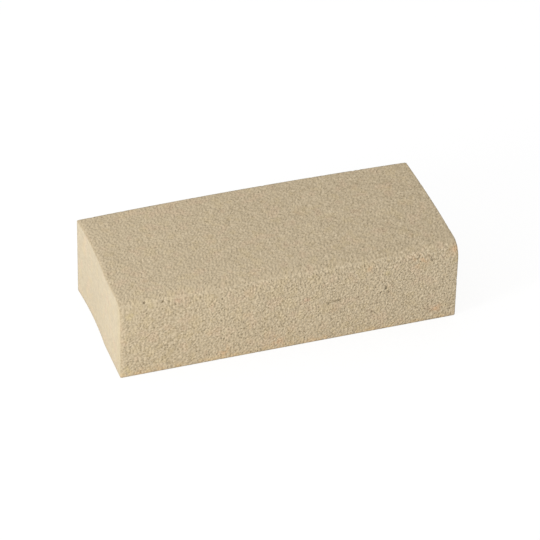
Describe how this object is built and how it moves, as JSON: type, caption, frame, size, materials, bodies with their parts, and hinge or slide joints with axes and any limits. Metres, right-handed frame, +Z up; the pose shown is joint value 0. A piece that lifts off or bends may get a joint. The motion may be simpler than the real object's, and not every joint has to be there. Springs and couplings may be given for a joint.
{
  "type": "cleaning sponge",
  "caption": "Rectangular dry cleaning sponge of fine open-celled rubber foam with one long rounded edge, for wiping soot and dust off dry surfaces.",
  "frame": {"origin": "middle of the overall box on the plane that the underside rests on", "axes": "+X along the length towards the swollen end, +Y towards the back face, +Z up out of the top"},
  "size_m": [0.1506, 0.0666, 0.037],
  "materials": {
    "rubber_foam": "matt tan natural rubber foam with fine open cells"
  },
  "bodies": {
    "root": {"sponge_block": "rubber_foam"}
  },
  "joints": []
}
